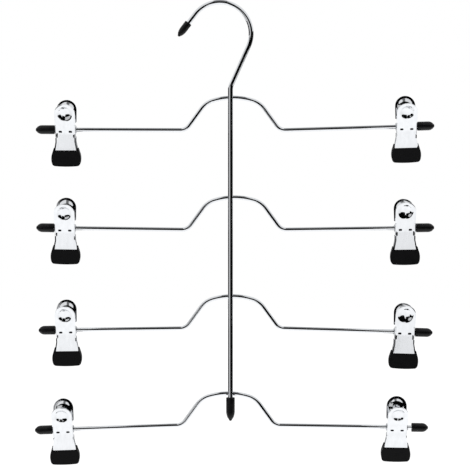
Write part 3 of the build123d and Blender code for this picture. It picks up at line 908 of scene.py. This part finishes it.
def model_leaf(name, sizes, rivets, front):
    """A leaf of the clip as one bent sheet: handle, dimple, knee, body, jaw and ears with their holes."""
    half = sizes.width / 2
    knee_y, knee_z, body_lean = knee_of(sizes)
    outside = half if front else half - sizes.sheet - sizes.ear_play
    ear_x = outside - sizes.sheet / 2
    fold_x = ear_x - sizes.ear_bend
    bottom = press_handle(sizes)
    ear_top = sizes.knee_drop + sizes.ear_top
    ear_bottom = -(sizes.ear_bottom + knee_z) / cos(body_lean)
    notch = NOTCH_SHARE * sizes.sheet
    pick(lambda place: near(place.z, bottom))
    extrude(0, 0, ear_top - bottom)
    rows = [ear_top - notch - (ear_top - ear_bottom - 2 * notch) * row / EAR_ROWS
            for row in range(EAR_ROWS + 1)]
    # The sheet is narrower between the notches, where its edges fold into the ears.
    z = ear_top
    for row in rows:
        extrude(0, 0, row - z)
        z = row
        if row == rows[0]:
            scale((fold_x / half, 1, 1), (0, 0, z))
    extrude(0, 0, ear_bottom - z)
    scale((half / fold_x, 1, 1), (0, 0, ear_bottom))
    z, width = ear_bottom, sizes.width
    for row, next_width in widths_down(sizes):
        extrude(0, 0, row - z)
        scale((next_width / width, 1, 1), (0, 0, row))
        z, width = row, next_width
    for side in (-1, 1):
        pick(lambda place: near(place.x, side * fold_x) and rows[-1] - HAIR < place.z < rows[0] + HAIR)
        for step in range(FOLD_STEPS):
            first, last = (pi / 2 * part / FOLD_STEPS for part in (step, step + 1))
            extrude(side * sizes.ear_bend * (sin(last) - sin(first)),
                    sizes.ear_bend * (cos(last) - cos(first)), 0)
    # The knee bends over the three rows nearest to it.
    knee_row = min(range(len(rows)), key=lambda row: abs(rows[row]))
    for row in (knee_row - 1, knee_row, knee_row + 1):
        pick(lambda place: place.z > rows[row] + 10 * HAIR)
        turn(-sizes.knee_turn / 3, "X", (0, 0, rows[row]))
    pick(lambda place: place.z < -sizes.body - HAIR)
    turn(sizes.crease_turn, "X", (0, 0, -sizes.body))
    bpy.ops.mesh.select_all(action="SELECT")
    turn(-body_lean, "X", (0, 0, 0))
    move(0, knee_y, knee_z)
    for side in (-1, 1):
        add_ear(side * ear_x, sizes, rivets)
    outward()
    leaf = close_edit(SMOOTH_TURNED)
    leaf.name = name
    modify(leaf, "SOLIDIFY", thickness=sizes.sheet, offset=0, use_even_offset=True)
    slots = slot_cutter(sizes)
    modify(leaf, "BOOLEAN", operation="DIFFERENCE", solver="MANIFOLD", object=slots)
    bpy.data.objects.remove(slots)
    round_edges(leaf, sizes.edge, segments=3)
    reopen(leaf)
    face(front)
    return close_edit(SMOOTH_SHEET)


def add_ear(x, sizes, rivets):
    """The round end of an ear about the rivet's hole, bridged to the folded edge of the sheet."""
    hole = rivets.radius + rivets.play
    bpy.ops.mesh.primitive_circle_add(vertices=EAR_SIDES, radius=hole, location=(x, 0, 0),
                                      rotation=(0, pi / 2, 0))
    extrude(0, 0, 0)
    factor = sizes.ear_radius / hole
    scale((1, factor, factor), (x, 0, 0))
    reach = sizes.ear_radius * cos(EAR_WRAP)
    slack = 2 * HAIR
    pick(lambda place: near(place.x, x, slack) and place.y > reach - slack
         and hypot(place.y, place.z) > sizes.ear_radius - slack)
    bpy.ops.mesh.bridge_edge_loops()


def slot_cutter(sizes):
    """Two upright round-ended prisms that cut the slots of a leaf."""
    depth = sizes.standoff
    begin("slot_cutter", bpy.ops.mesh.primitive_cube_add, size=1,
          location=(sizes.slot_spacing / 2, sizes.standoff, -sizes.slot_drop),
          scale=(sizes.slot_width, depth, sizes.slot_height))
    mesh = bmesh.from_edit_mesh(bpy.context.object.data)
    bpy.ops.mesh.select_mode(type="EDGE")
    bpy.ops.mesh.select_all(action="DESELECT")
    for edge in mesh.edges:
        along = edge.verts[0].co - edge.verts[1].co
        edge.select_set(abs(along.y) > depth / 2)
    bmesh.update_edit_mesh(bpy.context.object.data)
    bpy.ops.mesh.bevel(offset=sizes.slot_height * SLOT_END_SHARE, segments=SLOT_END_STEPS)
    bpy.ops.mesh.select_mode(type="VERT")
    bpy.ops.mesh.select_all(action="SELECT")
    bpy.ops.mesh.duplicate_move(TRANSFORM_OT_translate={"value": (-sizes.slot_spacing, 0, 0)})
    bpy.ops.object.mode_set(mode="OBJECT")
    return bpy.context.object


class HANGER_OT_leaves(bpy.types.Operator):
    """Press the front and back leaves of the clips and copy them to the eight clips."""

    bl_idname = "hanger.leaves"
    bl_label = "Clip leaves"

    def execute(self, context):
        sizes, rivets = context.scene.hanger_leaves, context.scene.hanger_rivets
        finish = plated_sheet()
        for half in HALVES:
            master = model_leaf(f"{half}_leaf_master", sizes, rivets, half == "front")
            copy_to_clips(master, finish, "clip_sheet", f"{half}_leaf_sheet", half, f"{half}_leaf")
        return {"FINISHED"}


# Boots

def boot_rows(sizes):
    """The rows of a boot, each a drop from the rivet and a half width, with round lower corners."""
    marks = [(sizes.top_drop, sizes.top_width / 2), (sizes.belly_drop, sizes.width / 2),
             (sizes.low_drop - sizes.corner, sizes.low_width / 2)]

    def half_width(drop):
        """A parabola through the top, the belly and the start of the corner."""
        total = 0
        for mark, half in marks:
            first, second = (other for other, width in marks if other != mark)
            total += half * (drop - first) * (drop - second) / ((mark - first) * (mark - second))
        return total

    (top_z, top), (low_z, low) = marks[0], marks[-1]
    straight = len(BOOT_COLUMN_SHARES) - BOOT_CORNER_STEPS - 1
    rows = []
    for step in range(straight + 1):
        drop = top_z + (low_z - top_z) * step / straight
        rows.append((drop, half_width(drop)))
    for step in range(1, BOOT_CORNER_STEPS + 1):
        around = pi / 2 * step / BOOT_CORNER_STEPS
        rows.append((low_z + sizes.corner * sin(around), low - sizes.corner * (1 - cos(around))))
    return rows


def model_boot(name, sizes, leaves, front):
    """A dipped boot: a rounded pad over the jaw with a raised rim at each side."""
    count = len(BOOT_COLUMN_SHARES) - 1
    begin(name, bpy.ops.mesh.primitive_grid_add, x_subdivisions=count, y_subdivisions=count, size=2,
          rotation=(pi / 2, 0, 0))
    # The grid runs from -1 to 1 each way; each of its points moves to its place on the boot.
    columns = [-1 + 2 * number / count for number in range(count + 1)]
    rows = boot_rows(sizes)
    for line, (drop, half) in zip(reversed(columns), rows):
        for column, share in zip(columns, BOOT_COLUMN_SHARES):
            pick(lambda place: near(place.z, line, GRID_SLACK) and near(place.x, column, GRID_SLACK))
            sag = 0
            if drop == rows[-1][0]:
                sag = (sizes.bottom_drop - sizes.low_drop) * (1 - share**2)
            move(share * half - column, 0, -drop - sag - line)
    half = sizes.top_width / 2
    for side in (-1, 1):
        pick(lambda place: near(place.z, -sizes.top_drop) and place.x * side > half * RIM_START_SHARE)
        extrude(0, 0, sizes.rim_rise)
        scale((RIM_TAPER_SHARE, 1, 1), (side * (half - RIM_MIDDLE_SHARE * sizes.rim_width), 0, 0))
    outward()
    boot = close_edit(SMOOTH_TURNED)
    knee_y, knee_z, body_lean = knee_of(leaves)
    lean = body_lean - leaves.crease_turn
    crease_y = knee_y - leaves.body * sin(body_lean)
    crease_z = knee_z - leaves.body * cos(body_lean)
    modify(boot, "SOLIDIFY", thickness=leaves.sheet + 2 * sizes.skin, offset=0)
    round_edges(boot, sizes.rounding, segments=2)
    reopen(boot)
    turn(-lean, "X", (0, 0, -sizes.top_drop))
    move(0, crease_y - (sizes.top_drop + crease_z) * tan(lean), 0)
    # What would reach past the middle of the clip is pressed flat against the other boot's side.
    pick(lambda place: place.y < sizes.gap / 2)
    scale((1, 0, 1), (0, sizes.gap / 2, 0))
    bpy.ops.mesh.select_all(action="SELECT")
    face(front)
    boot = close_edit(SMOOTH_SOFT)
    modify(boot, "SUBSURF", levels=1, render_levels=1)
    return boot


class HANGER_OT_boots(bpy.types.Operator):
    """Dip the soft boots over the jaws of the eight clips."""

    bl_idname = "hanger.boots"
    bl_label = "Boots"

    def execute(self, context):
        sizes, leaves = context.scene.hanger_boots, context.scene.hanger_leaves
        finish = boot_vinyl()
        for half in HALVES:
            master = model_boot(f"{half}_boot_master", sizes, leaves, half == "front")
            copy_to_clips(master, finish, "boot_vinyl", f"{half}_boot_dip", half, f"{half}_boot")
        return {"FINISHED"}


# Rivets and springs

class HANGER_OT_rivets(bpy.types.Operator):
    """Roll the hollow rivets that the clips turn on."""

    bl_idname = "hanger.rivets"
    bl_label = "Rivets"

    def execute(self, context):
        sizes, leaves = context.scene.hanger_rivets, context.scene.hanger_leaves
        end = leaves.width / 2 + sizes.rim_play + sizes.rim
        under, soft = end - sizes.rim, sizes.rim / 2
        half = [
            (under, sizes.radius), (under, sizes.rim_radius - soft / 2), (under + soft / 2, sizes.rim_radius),
            (end - soft, sizes.rim_radius - soft / 2), (end, sizes.rim_radius - sizes.rim),
            (end, sizes.bore + soft), (end - soft, sizes.bore),
        ]
        rings = [(-z, radius) for z, radius in reversed(half)] + half + [(-end + soft, sizes.bore)]
        master = lathe("rivet_master", rings, RIVET_SIDES, closed_end=False)
        settle(master, Matrix.Rotation(pi / 2, 4, "Y"))
        copy_to_clips(master, rivet_plate(), "rivet_steel", "rolled_rivet", "rivet", "rivet")
        return {"FINISHED"}


def spring_route(sizes, leaves):
    """The middle line of the spring: leg, coil, bridge over the back handle, coil and leg."""
    coil_turn = pi - 2 * sizes.splay + 2 * pi * sizes.turns
    outside = leaves.width / 2 - 2 * leaves.sheet - leaves.ear_play - sizes.side_play - sizes.wire / 2
    first = pi + sizes.splay
    slope = sizes.pitch / (2 * pi * sizes.coil)

    def way(around):
        """The direction of a coil at an angle round the rivet."""
        return Vector((-slope, -sin(around), cos(around))).normalized()

    steps = round(coil_turn / COIL_STEP)
    coil = []
    for step in range(steps + 1):
        around = first + coil_turn * step / steps
        x = outside - sizes.pitch * (around - first) / (2 * pi)
        coil.append(Vector((x, sizes.coil * cos(around), sizes.coil * sin(around))))
    leg = [coil[0] - way(first) * sizes.leg * (LEG_STEPS - step) / LEG_STEPS for step in range(LEG_STEPS)]
    leave = way(first + coil_turn)
    corner = coil[-1] + leave * sizes.bridge
    rise = (leave * Vector((0, 1, 1))).normalized()
    arc = []
    for step in range(BRIDGE_STEPS + 1):
        around = pi / 2 * step / BRIDGE_STEPS
        inwards = Vector((corner.x * cos(around), corner.y, corner.z))
        arc.append(inwards + rise * corner.x * sin(around))
    half = leg + coil + [(coil[-1] + corner) / 2] + arc
    return half + [Vector((-point.x, point.y, point.z)) for point in reversed(half[:-1])]


class HANGER_OT_springs(bpy.types.Operator):
    """Wind the double torsion springs between the leaves."""

    bl_idname = "hanger.springs"
    bl_label = "Springs"

    def execute(self, context):
        sizes, leaves = context.scene.hanger_springs, context.scene.hanger_leaves
        route = spring_route(sizes, leaves)
        curve = bpy.data.curves.new("spring_route", "CURVE")
        curve.dimensions = "3D"
        spline = curve.splines.new("POLY")
        spline.points.add(len(route) - 1)
        for point, place in zip(spline.points, route):
            point.co = (*place, 1)
        curve.bevel_depth = sizes.wire / 2
        curve.bevel_resolution = SPRING_ROUNDNESS
        curve.use_fill_caps = True
        master = bpy.data.objects.new("spring_master", curve)
        bpy.context.scene.collection.objects.link(master)
        hold(master)
        bpy.ops.object.convert(target="MESH")
        bpy.ops.object.mode_set(mode="EDIT")
        outward()
        master = close_edit(SMOOTH_SOFT)
        finish = spring_steel()
        for tier, side in CLIPS:
            clip = f"tier{tier}_{side}"
            place = clip_place(tier, side)
            spring = copy_of(master, f"{clip}_spring_wire", place)
            dress(spring, finish, "spring_steel", None, f"{clip}_spring")
            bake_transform(spring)
        bpy.data.objects.remove(master)
        return {"FINISHED"}


# Stage

def seen_rays(tree):
    """One for the rays of the camera, of gloss and of glass, and nought for the others."""
    rays = add_node(tree, "ShaderNodeLightPath").outputs
    level = rays["Is Camera Ray"]
    for kind in ("Is Glossy Ray", "Is Transmission Ray"):
        either = add_node(tree, "ShaderNodeMath", {"operation": "MAXIMUM"}, {0: level, 1: rays[kind]})
        level = either.outputs[0]
    return level


def stage_white(name, hex_colour, lift):
    """Matt pale paint with a glow that lifts it to white where it is seen."""
    material, tree = blank_material(name)
    paint = add_node(tree, "ShaderNodeBsdfDiffuse", {"Color": (*linear(hex_colour), 1)})
    level = add_node(tree, "ShaderNodeMath", {"operation": "MULTIPLY", 1: lift}, {0: seen_rays(tree)})
    glow = add_node(tree, "ShaderNodeEmission", {"Color": WHITE}, {"Strength": level.outputs[0]})
    surface = add_node(tree, "ShaderNodeAddShader", None, {0: paint.outputs[0], 1: glow.outputs[0]})
    add_node(tree, "ShaderNodeOutputMaterial", None, {"Surface": surface.outputs[0]})
    return material


def card(name, axis, reach, angles, hex_colour):
    """A curved plain card round the aim of the camera, which only shows in gloss."""
    radius = CARD_RADII[axis]
    first, last = (radians(part) for part in angles)
    long, middle = reach[1] - reach[0], sum(reach) / 2
    begin(name, bpy.ops.mesh.primitive_plane_add, size=1)
    # The plane is drawn thin to a line along the axis, which then sweeps out the card.
    if axis == "X":
        start = Vector((middle, -radius * cos(first), radius * sin(first)))
        factors, way = (long, CARD_LINE, CARD_LINE), (1, 0, 0)
    else:
        start = Vector((radius * sin(first), -radius * cos(first), middle))
        factors, way = (CARD_LINE, CARD_LINE, long), (0, 0, -1)
        turn(pi / 2, "X", (0, 0, 0))
    scale(factors, (0, 0, 0))
    bpy.ops.mesh.remove_doubles(threshold=10 * CARD_LINE)
    move(*(CAMERA_AIM + start))
    steps = max(2, round(degrees(last - first) / CARD_STEP))
    bpy.ops.mesh.spin(steps=steps, angle=last - first, center=CAMERA_AIM, axis=way)
    bpy.ops.object.mode_set(mode="OBJECT")
    patch = bpy.context.object
    material, tree = blank_material(name)
    plain = add_node(tree, "ShaderNodeEmission", {"Color": (*linear(hex_colour), 1), "Strength": 1})
    add_node(tree, "ShaderNodeOutputMaterial", None, {"Surface": plain.outputs[0]})
    patch.data.materials.append(material)
    for rays in ("camera", "diffuse", "shadow", "transmission", "volume_scatter"):
        setattr(patch, f"visible_{rays}", False)


def stand(name, data, way, distance=1):
    """Stands a lamp or the camera off the aim, some way out, and points it back there."""
    thing = bpy.data.objects.new(name, data)
    bpy.context.scene.collection.objects.link(thing)
    thing.location = CAMERA_AIM + way * distance
    thing.rotation_mode = "QUATERNION"
    thing.rotation_quaternion = (-way).to_track_quat("-Z", "Y")
    return thing


class HANGER_OT_stage(bpy.types.Operator):
    """Set the pale floor, the white studio, the lamps, the cards and the camera."""

    bl_idname = "hanger.stage"
    bl_label = "Stage"

    def execute(self, context):
        scene = context.scene
        scene.view_settings.view_transform = "Standard"
        self.floor()
        self.world(scene)
        for name, way, size, watts in LAMPS:
            data = bpy.data.lights.new(name, "AREA")
            data.size, data.energy = size, watts
            stand(name, data, Vector(way)).visible_glossy = False
        for name, *rest in CARDS:
            card(name, *rest)
        self.camera(scene)
        return {"FINISHED"}

    def floor(self):
        """A wide pale floor well below the hanger."""
        begin("floor", bpy.ops.mesh.primitive_plane_add, size=FLOOR_SIZE, location=(0, 0, FLOOR_HEIGHT))
        bpy.ops.object.mode_set(mode="OBJECT")
        floor = bpy.context.object
        floor.data.materials.append(stage_white("pale floor", FLOOR_TONE, FLOOR_LIFT))

    def world(self, scene):
        """White for the camera and the gloss, and a lower level for matt surfaces."""
        world = bpy.data.worlds.new("white studio")
        scene.world = world
        world.use_nodes = True
        tree = world.node_tree
        tree.nodes.clear()
        level = add_node(tree, "ShaderNodeMapRange", {"To Min": MATT_LEVEL, "To Max": 1},
                         {"Value": seen_rays(tree)})
        sky = add_node(tree, "ShaderNodeBackground", {"Color": WHITE},
                       {"Strength": level.outputs["Result"]})
        add_node(tree, "ShaderNodeOutputWorld", None, {"Surface": sky.outputs[0]})

    def camera(self, scene):
        """A long lens, slightly above the middle of the hanger."""
        data = bpy.data.cameras.new("camera")
        data.lens = CAMERA_LENS
        data.clip_start, data.clip_end = CAMERA_CLIP
        way = Vector((0, -cos(CAMERA_ELEVATION), sin(CAMERA_ELEVATION)))
        scene.camera = stand("camera", data, way, CAMERA_DISTANCE)


OPERATORS = (HANGER_OT_spine, HANGER_OT_arms, HANGER_OT_caps, HANGER_OT_leaves, HANGER_OT_boots,
             HANGER_OT_rivets, HANGER_OT_springs, HANGER_OT_stage)


class HANGER_PT_panel(bpy.types.Panel):
    """The steps of the hanger in the 3D view's sidebar."""

    bl_idname = "HANGER_PT_panel"
    bl_label = "Trouser Hanger"
    bl_space_type = "VIEW_3D"
    bl_region_type = "UI"
    bl_category = "Hanger"

    def draw(self, context):
        for operator in OPERATORS:
            self.layout.operator(operator.bl_idname)
        for group in GROUPS:
            box, sizes = self.layout.box(), getattr(context.scene, group)
            for name in sizes.bl_rna.properties.keys():
                if name not in ("rna_type", "name"):
                    box.prop(sizes, name)


def register():
    for group in GROUPS.values():
        bpy.utils.register_class(group)
    for name, group in GROUPS.items():
        setattr(bpy.types.Scene, name, PointerProperty(type=group))
    for operator in OPERATORS:
        bpy.utils.register_class(operator)
    bpy.utils.register_class(HANGER_PT_panel)


def unregister():
    bpy.utils.unregister_class(HANGER_PT_panel)
    for operator in reversed(OPERATORS):
        bpy.utils.unregister_class(operator)
    for name, group in GROUPS.items():
        delattr(bpy.types.Scene, name)
        bpy.utils.unregister_class(group)


def main():
    register()
    bpy.ops.hanger.spine()
    bpy.ops.hanger.arms()
    bpy.ops.hanger.caps()
    bpy.ops.hanger.leaves()
    bpy.ops.hanger.boots()
    bpy.ops.hanger.rivets()
    bpy.ops.hanger.springs()
    bpy.ops.hanger.stage()


if __name__ == "__main__":
    main()
